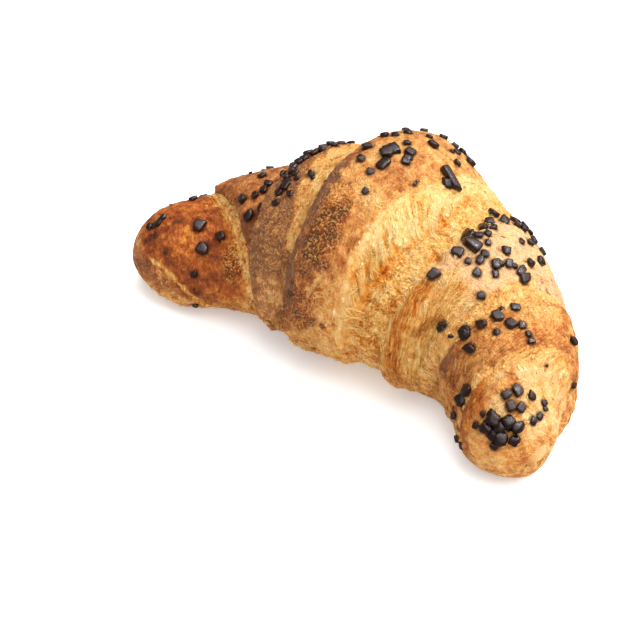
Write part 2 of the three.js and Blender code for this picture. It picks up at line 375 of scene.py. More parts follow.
def looks(here):
    """The looks of these places, each from about 0 to 1."""
    look = layer_looks(here)
    spot, band, turn = here.spot, here.band, here.turn
    along, degrees, left, wobble = here.along, here.degrees, here.left, here.wobble

    def changer(own):
        """A function that moves looks towards new values, in the layers that own marks."""
        def change(where, bake, **others):
            for name, value in {"bake": bake, **others}.items():
                look[name] = look[name] + (value - look[name]) * (where * own)
        return change

    def patches(share, seed):
        return smooth(share + 2.2 * noise(here.base / 5.0, seed))

    anywhere = changer(1)
    left_horn, second, third, crown, sheet, bed, fifth, sixth, right_horn = (
        changer(here.index == k) for k in range(len(LAYERS)))
    # left horn: scorched tip, burnt spots, rough shoulder, tan crust under the seam
    left_horn(smooth((5 - along) / 3), 0.54, grey=0.3, amber=0.1, fibre=0.5)
    left_horn(spot((7, -27), (2.2, 6), 1), 0.86, amber=1)
    left_horn(spot((17.5, -21), (1.2, 3), 1), 0.82)
    left_horn(spot((13.5, -53), (1.8, 4), 1), 0.80)
    left_horn(spot((41, -66), (4.5, 16), 1), 0.60, amber=0.1, fleck=0.9, gloss=0.3)
    seam = degrees + 62 + 2.3 * (along - 7)
    below = smooth((-seam - 2) / 8)
    left_horn(below, 0.66, grey=0.3, amber=0.4, fleck=0.3, fibre=0.3, gloss=0.5)
    left_horn(turn(-100, -50, 20) * band(20, 46, 4), 0.70, amber=0.9)
    # second turn: painted shade low down and in the crease where it dips under the next edge
    second(smooth((3.5 - left) / 3), 0.72, grey=0.1)
    second(turn(-80, -32, 15), 0.76, amber=0.5)
    # third turn: grey-brown crust, tan and smoother towards the floor, painted shade in the crease
    # under the next lip
    third(spot((63.5, -3), (1.8, 8), 1), 0.42, grey=0, amber=0.3)
    third(turn(-130, -74), 0.56, grey=0.45, fleck=0.1, gloss=0.5)
    # painted shade in the crease under the crown turn's lip
    third(smooth((1.3 - left) / 1.0), 0.85, grey=0.3, fibre=0)
    # crown turn: rough flecked flank, fresh pastry before the tear, glazed lip whose grey is
    # partly painted sheen, smears
    crown(spot((82, -46), (8, 21), 0.8), 0.86, amber=0.5, fleck=0.7, gloss=0.35)
    crown(spot((80, -28), (5, 5), 0.8), 0.34, fleck=0.9, fluff=0.4)
    crown(spot((92, -24), (6, 5), 1), 0.24, fleck=0.5, fluff=0.2)
    crown(turn(-90, -66) * band(71, 92, 3), 0.56, amber=0.6, fleck=0.6)
    crown(turn(-100, -64) * band(68, 84, 6), 0.72, fleck=0.4)
    crown(turn(-98, -64) * band(88, 96, 3), 0.36, amber=0.5, fleck=0.5)
    crown(turn(-60, -34) * band(89.5, 96, 3), 0.47, amber=0.5, fleck=0.1)
    fresh_from = np.interp(degrees, [-90, -60, -40, -25, -10, 5], [95, 95, 96, 98, 101, 104])
    crown(smooth((along - fresh_from + wobble) / 2.5), 0.07, fibre=0.9)
    crown(spot((97, -68), (1.8, 20), 1), 0.06, amber=0.6)
    streak = along - 83 - 0.42 * (degrees + 75)
    crown(smooth(1.4 - np.abs(streak) / 1.1) * turn(-76, -63, 6), 0.14, fibre=0.9)
    lip = smooth((5.6 - here.past + 1.6 * wobble) / 4.0)
    crown(lip * turn(-85, -5), 0.88, grey=0.75, fleck=0.2, fibre=0.7, gloss=0.6)
    crown(smooth((1.0 - here.past) / 0.9) * turn(-85, 40), 0.42)
    crown(lip * turn(-5, 60), 0.56, grey=0.2, amber=0.4)
    for smear in ((76, -88), (84.5, -92), (90.5, -91), (73, -80)):
        crown(spot(smear, (2.0, 1.6), 1), 0.88, grey=0.2)
    # torn part: painted warm shade on the low side of the sheet and a painted shadow in the gap
    # beside its edge, woolly brown low down
    sheet(turn(-110, -44, 16), 0.05, amber=0.6)
    bed(spot((107.5, -52), (2.5, 8), 1), 0.42, amber=0.5)
    bed(turn(-130, -58) * smooth((119 - along) / 3), 0.31)
    # fifth turn: rosy painted sheen on top, brown stripe and golden ridges low on the hollow side
    fifth(turn(-34, 130, 12), 0.26, grey=0.7, fibre=0.25, gloss=0.8)
    golden = spot((134, -30), (7, 10), 1.2)
    fifth(golden, 0.20, grey=0, amber=0.3, fibre=0.8, fluff=0.3)
    low = turn(-112, -38, 8)
    fifth(low, 0.25, grey=0, amber=0.4, fibre=0.8, fluff=0.2)
    fifth(low * band(121.5, 127.5, 2), 0.43, grey=0, amber=0.7, fluff=0, gloss=0.6)
    fifth(low * spot((131, -50), (3, 9), 0.8), 0.14)
    slant = along - 134 - 0.3 * (degrees + 58)
    fifth(smooth(1.5 - np.abs(slant) / 2.0) * turn(-72, -46, 8), 0.48, amber=0.2)
    fifth(turn(-90, -45) * band(138, 142, 1.5), 0.22, fluff=0.3)
    # sixth turn: glazed patches, pale grains on top, smooth purple-brown patch, strands below
    sixth(0.7 * patches(0.2, 72), 0.56, amber=0.6, gloss=0.9)
    sixth(spot((146, 25), (4, 14), 1), 0.26, fleck=0.5, fluff=0.3)
    sixth(turn(-45, 10) * band(154, 163, 5), 0.48, amber=0.3)
    sixth(spot((147.5, -67), (4.5, 15), 1.2), 0.66, grey=0.6, fibre=0.2, gloss=0.6)
    sixth(turn(-85, -42) * band(151, 164), 0.52, amber=0.5, fibre=0.9)
    # right horn: glossy orange shoulder on the hollow side, glazed patches and tip
    right_horn(turn(-130, -55, 20), 0.56, grey=0, amber=1)
    right_horn(0.65 * patches(0.3, 71), 0.47, grey=0, amber=0.7, gloss=1)
    shoulder = turn(-62, -24, 12) * band(160, 174, 4)
    right_horn(shoulder, 0.50, grey=0, amber=0.9, fibre=0.3, gloss=1)
    right_horn(smooth((along - 173) / 4), 0.40, grey=0.1, amber=0.5, gloss=0.9)
    right_horn(spot((166, 45), (6, 22), 1.5), 0.20, amber=0, fibre=0.5)
    # strips of fresh pastry, the paler skirt near the floor, the seam under the left horn
    pale = pale_strips(here)
    # the strips also get a faint rosy painted sheen
    anywhere(pale, 0.28, grey=0.15, amber=0.1, fleck=0.35, fibre=0.7, gloss=0.1)
    left_horn(smooth((6.5 - left - wobble) / 3), 0.42, amber=0.4, fibre=0.9)
    left_horn(smooth((4.2 - left - 0.5 * wobble) / 1.2), 0.26, amber=0.4)
    third(spot((69, -50), (2, 8)), 0.36, amber=0.2)
    skirt = smooth((np.abs(degrees) - 92) / 20)
    anywhere(0.8 * skirt, 0.47, grey=0.2, amber=0.1, fleck=0.5, fibre=0.5, gloss=0.15)
    anywhere(skirt * band(86, 117, 8), 0.27, grey=0.1)
    near_seam = smooth(1.3 - np.abs(seam + 3 * wobble) / 4) * smooth((along - 4) / 4)
    left_horn(near_seam * (1 - 0.6 * skirt), 0.28, grey=0, amber=0.15, fibre=0.9)
    # the fibres fade at the tips and where the torn sheet starts
    tips = smooth(along / 6) * smooth((LENGTH_ALONG - along) / 7)
    look["fibre"] = look["fibre"] * tips * smooth(0.1 + np.abs(along - here.limits[4]) / 4)
    return look


def seam_crack(here):
    """Dark zigzag crack in the middle of the pale strip of the left horn."""
    zigzag = here.left - 2.5 - 0.8 * noise(here.base / 1.8, 57)
    return smooth(1.1 - np.abs(zigzag) / 0.5) * (here.index == 0)


def weave(here, look):
    """Relief of fibres, fluff, grains and cracks in mm. The same patterns colour the
    looks: crests of fresh pastry are pale, its hollows, its slits and the wall under the torn
    edge get painted golden shade, and cracks in crust are dark."""
    point = here.base
    mottle = layered_noise(point / 7.0, 31)
    small_mottle = layered_noise(point / 2.2, 32, 2)
    coarse = ridges(here.strands(1.4, 11.0, 44))
    fine = ridges(here.strands(0.75, 5.0, 45))
    curl = np.stack([noise(point / 2.2, seed) for seed in (46, 47, 48)], -1)
    wool = ridges(noise((point + 1.6 * curl) / 1.15, 49))
    dash = np.stack([here.along / 1.5, here.arc / 0.6, curl[..., 0] * 1.2], -1)
    grains = smooth(noise(dash, 51) * 1.7 + 0.3)
    crack = smooth((ridges(noise((point + curl) / 6.0, 55)) - 0.90) / 0.10)
    crack *= smooth(noise(point / 8.0, 56) * 3)
    crack = np.maximum(0.5 * crack, seam_crack(here))
    skin = ridges(noise((point + 0.9 * curl) / 2.3, 58)) * smooth(0.4 + 2 * noise(point / 9.0, 59))
    slit = smooth((here.strands(1.5, 10.0, 52) - 0.24) / 0.14) * (here.index == 4)
    slit *= smooth((here.past - 1) / 4) * here.turn(-88, 90)
    wall = smooth(1.4 - np.abs(here.along - here.limits[5]) / 0.9)
    bake, amber, fibre, fluff, fleck = (
        look[name] for name in ("bake", "amber", "fibre", "fluff", "fleck"))
    soft_sheet = 1 - 0.6 * (here.index == 4)
    crust = 1 - np.maximum(fibre, fluff)
    inside = smooth(np.minimum(here.past, here.left) / 0.9)

    bake += (0.07 + 0.04 * crust) * mottle + (0.05 + 0.07 * crust) * small_mottle
    # paler crests and darker hollows of the fibres and wool; the darker hollows are painted shade
    bake -= inside * fibre * soft_sheet * (0.16 * (coarse - 0.45) + 0.12 * (fine - 0.45))
    bake -= fluff * 0.26 * (wool - 0.5) + fleck * 0.36 * (grains - 0.4)
    tuft = noise((point + curl) / 3.6, 63)
    bake -= 0.20 * fluff * tuft
    # dark cracks, and the slits darkened as painted shade
    bake += 0.30 * crack + 0.26 * slit - 0.13 * crust * (skin - 0.2)
    # painted shade: the wall under the torn sheet's edge is darkened, and it, the slits and the
    # hollows of the wool and fibres are turned warm amber
    bake += np.maximum(0.30 - bake, 0) * wall * here.turn(-80, -35, 20)
    amber += 0.5 * small_mottle * crust * amber + 0.2 * slit + 0.4 * wall
    amber += 0.5 * fluff * (0.6 - wool) + 0.5 * fibre * (0.5 - coarse)

    height = 0.30 * noise(point / 6.0, 41) + 0.16 * noise(point / 2.6, 42)
    height += (0.04 + 0.06 * (1 - crust)) * layered_noise(point / 1.1, 43, 2)
    wrinkle = ridges(noise((point + 0.6 * curl) / 1.2, 64))
    height += crust * (0.24 * skin + 0.08 * wrinkle)
    height += inside * fibre * soft_sheet * (0.44 * coarse + 0.28 * fine - 0.37)
    height += fluff * (0.30 * wool + 0.35 * noise(point / 1.9, 50) + 0.55 * tuft - 0.2)
    height += fleck * 0.26 * grains - 0.40 * crack - 0.45 * slit
    skirt = smooth(1 - np.abs(np.abs(here.degrees) - 112) / 24) * smooth(here.along / 50)
    height += skirt * (0.8 * noise(point / 4.0, 53) + 0.35 * noise(point / 1.5, 54))
    closing = smooth(here.along / 4) * smooth((LENGTH_ALONG - here.along) / 3)
    return height * np.maximum(relief_share(here.angle), 0.06) * closing


def pastry(along, angle):
    """The finished surface at these places: points, the places and their looks."""
    here = places(along, angle)
    look = looks(here)
    height = weave(here, look)
    for name in LOOKS:
        look[name] = np.clip(look[name], 0, 1)
    look["depth"] = smooth(np.minimum(here.past, here.left) / 1.6)
    point = here.base + here.normal * height[..., None] - MIDDLE
    point[..., 2] = np.maximum(point[..., 2], 0.0)
    return point, here, look


def grid_rows(angle, step=0.30):
    """Places along of every row at these angles, following the layer edges, and the row
    where each layer starts."""
    limits = layer_limits(angle)
    rows = []
    cuts = [0]
    for k, gap in enumerate(CROWN_GAPS):
        share = np.arange(round(gap / step)) / round(gap / step)
        crowded = share - 0.45 / (2 * np.pi) * np.sin(2 * np.pi * share)
        if k == 0:
            crowded = share ** 1.5
        if k == len(LAYERS) - 1:
            crowded = 1 - (1 - share) ** 1.5
        rows.append(limits[k] + (limits[k + 1] - limits[k]) * crowded[:, None])
        cuts.append(cuts[-1] + len(share))
    return np.concatenate([*rows, limits[-1][None]]), cuts


def grid_normals(point):
    """Vertex normals of a grid that closes round its columns."""
    on_column = np.roll(point, -1, 1) - np.roll(point, 1, 1)
    return unit(np.cross(np.gradient(point, axis=0), on_column))


# ---- making pieces
def add_object(name, data):
    thing = bpy.data.objects.new(name, data)
    bpy.context.scene.collection.objects.link(thing)
    return thing


def make_piece(name, points, faces, material, normals=None, **attributes):
    """A mesh piece from points in mm, riding on the body. An attribute has one value for
    all points, for each of the like parts of the mesh, or for each point."""
    mesh = bpy.data.meshes.new(name)
    mesh.from_pydata((np.asarray(points) * MM).tolist(), [], faces)
    mesh.polygons.foreach_set("use_smooth", np.ones(len(mesh.polygons), dtype=bool))
    for key, values in attributes.items():
        flat = np.atleast_1d(np.asarray(values, dtype=np.float32))
        flat = np.repeat(flat, len(points) // len(flat), 0)
        kind, field = ("FLOAT_VECTOR", "vector") if flat.ndim == 2 else ("FLOAT", "value")
        mesh.attributes.new(key, kind, "POINT").data.foreach_set(field, flat.ravel())
    if normals is not None:
        mesh.normals_split_custom_set_from_vertices(np.asarray(normals).tolist())
    mesh.materials.append(material)
    piece = add_object(name, mesh)
    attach(piece, BODY)
    return piece


def repeated(faces, corners, count):
    """Faces of this many copies of a mesh, each with that many points."""
    return (faces + corners * np.arange(count)[:, None, None]).reshape(-1, faces.shape[1]).tolist()


# ---- materials
# Share of red, green and blue light that each thing reflects. The crust goes from
# fresh to nearly burnt, at even steps of bake.
BAKE_COLOURS = [
    (0.86, 0.64, 0.29, 1), (0.82, 0.54, 0.19, 1), (0.76, 0.43, 0.115, 1),
    (0.67, 0.31, 0.066, 1), (0.53, 0.20, 0.038, 1), (0.37, 0.110, 0.020, 1),
    (0.22, 0.055, 0.012, 1), (0.11, 0.028, 0.009, 1), (0.035, 0.013, 0.007, 1),
]
# Amber glaze colour; the same colour is also painted as warm shade into hollows, slits and
# creases.
AMBER_GLAZE_AND_SHADE = (0.95, 0.60, 0.30, 1)
# Rosy painted sheen: the pale shine of light on glossy pale crust, painted into the colour.
ROSY_PAINTED_SHEEN = (0.80, 0.47, 0.29, 1)
# Grey-brown glaze, its purplish tint partly a painted sheen.
GREY_GLAZE_AND_SHEEN = (0.26, 0.120, 0.058, 1)
PALE_FLECK = (0.76, 0.43, 0.13, 1)
DARK_FLECK = (0.16, 0.052, 0.016, 1)
STAIN = (0.060, 0.010, 0.004, 1)
CHOCOLATE = (0.015, 0.0042, 0.0024, 1)
MELTED = (0.010, 0.0024, 0.0014, 1)


class Nodes:
    """Short calls for the nodes of one material."""

    def __init__(self, name):
        self.material = bpy.data.materials.new(name)
        self.material.use_nodes = True
        self.tree = self.material.node_tree

    def fill(self, sockets, values):
        """Links the values that come from nodes, and sets the others."""
        for name, value in values.items():
            if isinstance(value, bpy.types.NodeSocket):
                self.tree.links.new(value, sockets[name])
            else:
                sockets[name].default_value = value

    def node(self, kind, output, inputs, **settings):
        """One output of a new node with these settings and inputs."""
        node = self.tree.nodes.new("ShaderNode" + kind)
        for name, value in settings.items():
            setattr(node, name, value)
        self.fill(node.inputs, inputs)
        return node.outputs[output]

    def surface(self, values):
        """The finished material, with these inputs of its shader."""
        self.fill(self.tree.nodes["Principled BSDF"].inputs, values)
        return self.material

    def attribute(self, name, output="Fac"):
        return self.node("Attribute", output, {}, attribute_name=name)

    def stretched(self, vector, scale):
        return self.node("Mapping", "Vector", {"Vector": vector, "Scale": scale})

    def noise(self, vector, scale, detail, roughness):
        return self.node("TexNoise", "Fac", {"Vector": vector, "Scale": scale, "Detail": detail,
                                             "Roughness": roughness})

    def math(self, operation, first, second=0.0, clamp=False):
        return self.node("Math", 0, {0: first, 1: second}, operation=operation, use_clamp=clamp)

    def times(self, first, second):
        return self.math("MULTIPLY", first, second)

    def total(self, *values, clamp=False):
        result = values[0]
        for value in values[1:]:
            result = self.math("ADD", result, value, clamp and value is values[-1])
        return result

    def fit(self, value, low, high, to_low=0.0, to_high=1.0):
        """Maps low..high to to_low..to_high, and no further."""
        return self.node("MapRange", "Result", {"Value": value, "From Min": low, "From Max": high,
                                                "To Min": to_low, "To Max": to_high})

    def mix(self, share, first, second, blend="MIX"):
        return self.node("Mix", "Result", {"Factor": share, "A": first, "B": second},
                         data_type="RGBA", blend_type=blend)

    def ramp(self, value, colours):
        """The colours at even steps of the value."""
        node = self.tree.nodes.new("ShaderNodeValToRGB")
        elements = node.color_ramp.elements
        while len(elements) < len(colours):
            elements.new(0.5)
        for k, colour in enumerate(colours):
            elements[k].position = k / (len(colours) - 1)
            elements[k].color = colour
        self.fill(node.inputs, {"Fac": value})
        return node.outputs["Color"]

    def bump(self, height, strength, distance):
        return self.node("Bump", "Normal", {"Height": height, "Strength": strength,
                                            "Distance": distance})


def pastry_material():
    """Baked crust, fresh torn pastry and everything between, steered by the looks."""
    make = Nodes("baked_pastry")
    fit, times, total = make.fit, make.times, make.total
    place = make.node("TexCoord", "Object", {})
    grain = make.attribute("grain", "Vector")
    fibre = make.attribute("fibre")
    fleck = make.attribute("fleck")
    gloss = make.attribute("gloss")

    def swing(value, amount):
        """A value from 0 to 1 as a change of up to half the amount either way."""
        return times(total(value, -0.5), amount)

    def creases(scale, detail, roughness, width):
        """Thin lines where the noise crosses its middle."""
        off = make.math("ABSOLUTE", total(make.noise(place, scale, detail, roughness), -0.5))
        return fit(off, 0.0, width, 1.0, 0.0)

    hairs = fit(make.noise(make.stretched(grain, (1.6, 0.20, 1)), 1.0, 3.0, 0.6), 0.38, 0.62)
    wisps = fit(make.noise(make.stretched(grain, (2.8, 0.5, 1)), 1.0, 2.0, 0.5), 0.42, 0.58)
    specks = make.noise(place, 1400.0, 3.0, 0.6)
    blotches = make.noise(place, 420.0, 3.0, 0.55)
    crinkle = creases(450.0, 3.0, 0.6, 0.07)
    woolly = total(make.attribute("fluff"), fleck, clamp=True)
    threads = times(creases(620.0, 1.5, 0.5, 0.055), woolly)

    # colour: bake with painted shade, then amber glaze with painted warm shade, grey glaze that
    # turns to a rosy painted sheen on pale crust, flecks and chocolate stain over it
    bake = total(make.attribute("bake"),
                 swing(hairs, fit(fibre, 0, 1, 0.05, 0.20)),
                 swing(wisps, fit(fibre, 0, 1, 0.04, 0.16)),
                 swing(blotches, fit(gloss, 0.3, 0.9, 0.30, 0.20)),
                 times(threads, -0.28),
                 times(crinkle, fit(gloss, 0, 1, 0, -0.09)),
                 swing(specks, 0.34), clamp=True)
    amber = total(times(make.attribute("amber"), fit(blotches, 0.35, 0.6, 0.7, 1.1)),
                  times(make.math("SUBTRACT", woolly, threads), 0.30), clamp=True)
    colour = make.mix(amber, make.ramp(bake, BAKE_COLOURS), AMBER_GLAZE_AND_SHADE, "MULTIPLY")
    grey = times(make.attribute("grey"), fit(blotches, 0.3, 0.6, 0.4, 1.0))
    colour = make.mix(grey, colour, make.mix(fit(bake, 0.34, 0.52), ROSY_PAINTED_SHEEN, GREY_GLAZE_AND_SHEEN))
    colour = make.mix(times(fleck, fit(specks, 0.52, 0.60, 0, 0.85)), colour, PALE_FLECK)
    colour = make.mix(times(fleck, fit(specks, 0.47, 0.38, 0, 0.7)), colour, DARK_FLECK)
    colour = make.mix(make.attribute("stain"), colour, STAIN)

    relief = total(times(hairs, fit(fibre, 0, 1, 0.15, 0.7)),
                   times(wisps, fit(fibre, 0, 1, 0.05, 0.35)),
                   times(specks, fit(fleck, 0, 1, 0.5, 1.4)),
                   times(threads, 0.45),
                   times(crinkle, fit(gloss, 0, 1, 0.1, 0.6)))
    return make.surface({
        "Base Color": colour,
        "Roughness": total(fit(gloss, 0, 1, 0.62, 0.18), fit(specks, 0.3, 0.7, -0.06, 0.10)),
        "Specular IOR Level": fit(gloss, 0, 1, 0.03, 0.30),
        "Subsurface Weight": times(fit(bake, 0.1, 0.6, 0.40, 0.05), make.attribute("depth")),
        "Subsurface Radius": (1.0, 0.40, 0.15),
        "Subsurface Scale": 0.0014,
        "Normal": make.bump(relief, 1.0, 0.0006),
    })


def chocolate_material(name, colour, roughness):
    """Dark chocolate with a faint dusty bloom."""
    make = Nodes(name)
    place = make.node("TexCoord", "Object", {})
    bloom = make.noise(place, 700.0, 3.0, 0.6)
    fine = make.noise(place, 2600.0, 2.0, 0.6)
    lighter = (*(1.8 * c for c in colour[:3]), 1)
    return make.surface({
        "Base Color": make.mix(make.fit(bloom, 0.4, 0.7), colour, lighter),
        "Roughness": make.fit(bloom, 0.3, 0.7, roughness - 0.06, roughness + 0.10),
        "Specular IOR Level": 0.50,
        "Normal": make.bump(make.total(bloom, fine), 0.45, 0.0002),
    })


# ---- the turns of pastry
COLUMNS = 560


def body_grid():
    """Rows of points over the whole pastry, denser on top than underneath."""
    turn = np.linspace(-np.pi, np.pi, COLUMNS, endpoint=False)
    angle = turn - 0.25 * np.sin(turn)
    rows, cuts = grid_rows(angle)
    return pastry(rows, np.broadcast_to(angle, rows.shape).copy()), cuts


def turn_faces(rows):
    """Faces of one turn: rows of quads and a fan at either end."""
    index = np.arange(rows * COLUMNS).reshape(rows, COLUMNS)
    beside = np.roll(index, -1, 1)
    first = rows * COLUMNS
    start = np.stack([np.full(COLUMNS, first), index[0], beside[0]], -1)
    end = np.stack([np.full(COLUMNS, first + 1), beside[-1], index[-1]], -1)
    return [*quads(index, beside).tolist(), *start.tolist(), *end.tolist()]


def add_turns(point, here, look, cuts, material):
    """Each layer of the roll is its own closed piece."""
    normal = grid_normals(point)
    grain = np.stack([here.across, here.arc, here.index * 9.0], -1)
    for k, layer in enumerate(LAYERS):
        first = cuts[k] if k else 1
        last = cuts[k + 1] if k + 1 < len(LAYERS) else len(point) - 2
        rows = slice(first, last + 1)
        # the horns end at their tips, every other turn in the middle of its end rows
        ends = [point[first if k else 0].mean(0),
                point[last if k + 1 < len(LAYERS) else -1].mean(0)]
        # the last row lies on the next layer, so its grain is carried on from this one
        own_grain = grain[rows].copy()
        own_grain[-1] = 2 * own_grain[-2] - own_grain[-3]
        lean = unit(point[last].mean(0) - point[first].mean(0))
        attributes = {name: np.concatenate([value[rows].reshape(-1), [0, 0]])
                      for name, value in look.items()}
        attributes["grain"] = np.concatenate([own_grain.reshape(-1, 3), np.zeros((2, 3))])
        piece = make_piece(
            layer["name"], np.concatenate([point[rows].reshape(-1, 3), ends]),
            turn_faces(last - first + 1), material,
            np.concatenate([normal[rows].reshape(-1, 3), [-lean, lean]]), **attributes)
        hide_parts(NODE)


# ---- directions
CAMERA_DIRECTION = (40, 40)
CAMERA_TARGET = (-1.0, -32.2, 22.0)
CAMERA_DISTANCE = 559
CAMERA_LENS = 100


def direction(azimuth, elevation):
    """Unit vector from the object towards a camera or lamp, azimuth 0 in front (-Y)."""
    a, e = math.radians(azimuth), math.radians(elevation)
    return Vector((math.sin(a) * math.cos(e), -math.cos(a) * math.cos(e), math.sin(e)))


# ---- chocolate pieces
# Places on the shown side, (along, degrees, size in mm), layer by layer.
SHOWN_CHIPS = [
    # left horn
    (20.5, 24, 2.8), (25, -31, 4.0), (33.7, -44, 3.2), (27.3, -53, 4.0), (24.5, -75, 2.4),
    # second turn, and the chain along the edge of the third
    (44, 7, 2.6), (48, -6, 2.8), (47.5, -13, 2.8), (45, -17, 2.4), (40.5, -18, 3.2),
    (45, -34, 3.5), (48, -28, 2.6), (49, -25, 2.4), (49.5, -20, 2.6), (50.5, -16, 2.6),
    (52, -14, 2.4), (43, 38, 2.6), (51, 33, 2.6), (38, 27, 1.4),
    (53.5, -2, 2.6), (54, -8, 2.8), (55, 2, 2.8), (54, 5, 2.4), (56, 10, 2.8), (57, 12, 2.6),
    (57, -19, 3.0), (55.5, -30, 2.4), (60, -14, 1.8), (60, -25, 2.0), (64.5, -11, 2.5),
    (62.5, 12, 2.6), (62, 20, 2.8), (65, 27, 2.8), (58, 17, 2.8), (59, 24, 3.0),
    (60.5, 30, 2.8), (62, 36, 2.6), (57.5, 7, 2.4), (65, 18, 2.4), (67, 32, 2.6),
    (57, 3, 2.6), (59, 6, 2.4), (60, 12, 2.8), (58, 22, 2.8), (63, 24, 2.6), (57, 28, 2.8),
    (74, 18, 2.8), (73, 27, 2.6), (55.5, -5, 2.4), (56.5, -12, 2.6), (57, 33, 2.8),
    (58.5, 1.5, 2.8), (57.6, -3.6, 3.0), (57.4, -7.5, 2.6), (58.4, -9.5, 2.2),
    (56.8, -16, 3.0), (55.4, -23, 2.6), (59.5, 5, 2.6), (61, 9, 2.6),
    # crown turn
    (82, -7, 2.6), (87.5, -12, 2.6), (90, -22, 2.0), (80.5, 3, 3.0), (88, 2, 3.8),
    (89.5, -6, 3.5), (89.5, 13, 2.6), (93, 8, 3.5), (94.5, 2, 2.8), (101, -4, 1.3),
    (101, -2, 0.8), (78, 7, 2.6), (78, 12, 2.8), (81.5, 17, 2.8), (80, 24, 2.6),
    (84, 17, 2.4), (85.5, 24, 2.6), (80, 33, 2.8), (83, 35, 2.8), (86, 37, 2.6),
    (91, 27, 2.2), (94.5, 22, 3.2), (91, 40, 2.8), (94, 43, 2.6), (95.5, 46, 2.6),
    (97, 48, 2.4), (97.5, 31, 1.6), (97.5, 36, 2.2), (101.5, 27, 2.4), (100, 43, 3.0),
    # fifth turn
    (124.5, -13.5, 3.7), (126.5, 6, 2.3), (123.5, 4, 2.8), (129.5, 0, 2.8),
    (130.5, -5, 2.8), (129, -12, 2.0), (133.5, -11, 2.8), (124.5, -33, 3.7),
    (140, -15, 2.4), (133, 3, 3.5), (135.5, 0, 2.5), (133.5, 11, 3.0), (134, 15, 2.0),
    (134.5, 21, 2.2), (135.5, 18, 2.8), (130, 14, 3.0), (132.5, 31, 2.8),
    (130.5, 44, 3.0), (137.5, 20, 3.7), (127, 32, 2.2), (126.5, 41, 2.8), (124.5, 50, 2.8),
    (126, 57, 2.6), (116.5, 31, 3.0), (119, 22, 3.3), (120.5, 30, 3.3), (120.5, 14, 3.0),
    (122.5, 17, 2.4), (124, 10, 2.4), (122, 38, 2.6), (123, 41, 2.4), (119.5, 43, 2.8),
    (121, 48, 2.6), (122.5, 49, 2.4),
    # sixth turn
    (144, -4, 1.3), (144.5, 6, 2.8), (147, -9, 3.6), (147.5, -22, 3.0), (146.0, -35, 3.0),
    (147.4, -38, 2.8), (140, -47, 2.4), (140.3, -50, 2.2), (152, -12, 2.0), (150, 0, 3.5),
    (150.5, 8, 2.6), (153, 12, 2.0), (155, 14, 2.4), (148, 58, 3.0), (153.5, -36, 3.5),
    (155, 78, 2.0), (157.5, 33, 0.9),
    # right horn
    (168, 9, 3.6), (167, 25, 2.6), (170, 0, 3.0), (172, 8, 3.3), (171, 19, 2.8),
    (166, 42, 2.0), (167, 46, 1.5), (169.5, 44, 2.3), (171.5, 40, 2.6), (174.5, -28, 1.6),
    (179.3, 0, 2.5), (176, -45, 2.2), (165.5, -51, 3.3), (163, -95, 2.5), (169, -112, 2.5),
]
# Clusters that carry the toppings over the bulging side:
# (along, degrees, spread in mm, spread in degrees, count).
HIDDEN_CLUSTERS = [
    (22, 62, 6, 16, 5), (46, 62, 5, 16, 8), (60, 60, 5, 16, 14), (66, 84, 5, 10, 5),
    (84, 58, 7, 12, 14), (98, 66, 6, 12, 9), (90, 88, 8, 10, 4), (121, 70, 6, 12, 12),
    (130, 66, 5, 12, 8), (138, 84, 6, 10, 4), (150, 84, 5, 12, 4), (168, 66, 5, 14, 6),
]
# Half melted pieces that run into each other: (along, degrees, width in mm, height in mm).
MELTED_BLOBS = [
    (11.5, -8, 2.4, 0.7), (10, -12, 2.6, 0.8), (8, -12, 2.2, 0.6), (6.5, -8, 2.2, 0.6),
    (175.5, -8, 4.4, 1.9), (175, 12, 3.8, 1.8), (175, 26, 3.8, 1.8), (177, -22, 3.8, 1.5),
    (178, 12, 4.2, 1.7), (177, 35, 3.2, 1.5), (176.5, 2, 4.0, 1.2), (178, -8, 3.4, 1.0),
    (88.6, 4.5, 4.2, 1.3), (89.8, -4, 3.6, 1.0), (93.8, 5, 3.4, 1.0), (105.5, 12, 3.4, 0.9),
    (120, 3, 4.8, 1.2), (122, -1, 3.2, 0.8), (146.8, -36, 3.6, 1.4), (133, 6, 2.6, 0.7),
    (144, -48, 1.6, 0.4), (165, -68, 4.0, 1.6), (173, -112, 2.4, 0.5), (66, -14, 1.6, 0.5),
    (23.8, -112, 1.8, 0.6),
]
# Large pieces: (along, degrees, half sizes, yaw, tilt).
CHUNKS = [
    (104.7, 15.5, (4.4, 1.5, 1.25), 0.0, (0.02, 0.0)),
    (125.5, -3.5, (2.8, 1.8, 1.5), 0.35, (0.1, 0.15)),
    (88.0, 1.0, (2.1, 1.7, 1.3), 0.8, (0.0, -0.1)),
]
# Share of a loose piece that is baked into the crust, and width and strength of the stain
# round it.
SUNK = 0.28
HALO = 0.9
STAIN_STRENGTH = 0.75


def box_template(cuts=5):
    """Points and faces of a cube of half side 1, with its faces cut into a grid."""
    steps = np.linspace(-1, 1, cuts + 1)
    a, b = (grid.ravel() for grid in np.meshgrid(steps, steps, indexing="ij"))
    index = np.arange(len(a)).reshape(cuts + 1, cuts + 1)
    points = []
    faces = []
    for k, (axis, side) in enumerate(np.ndindex(3, 2)):
        sheet = np.stack([np.full(len(a), 2.0 * side - 1), a, b], -1)
        points.append(np.roll(sheet, axis, 1))
        faces.append(quads(index[:, :-1], index[:, 1:])[:, ::1 if side else -1] + k * len(a))
    points, numbers = np.unique(np.round(np.concatenate(points), 6), axis=0, return_inverse=True)
    return points, numbers.ravel()[np.concatenate(faces)]


BOX_POINTS, BOX_FACES = box_template()


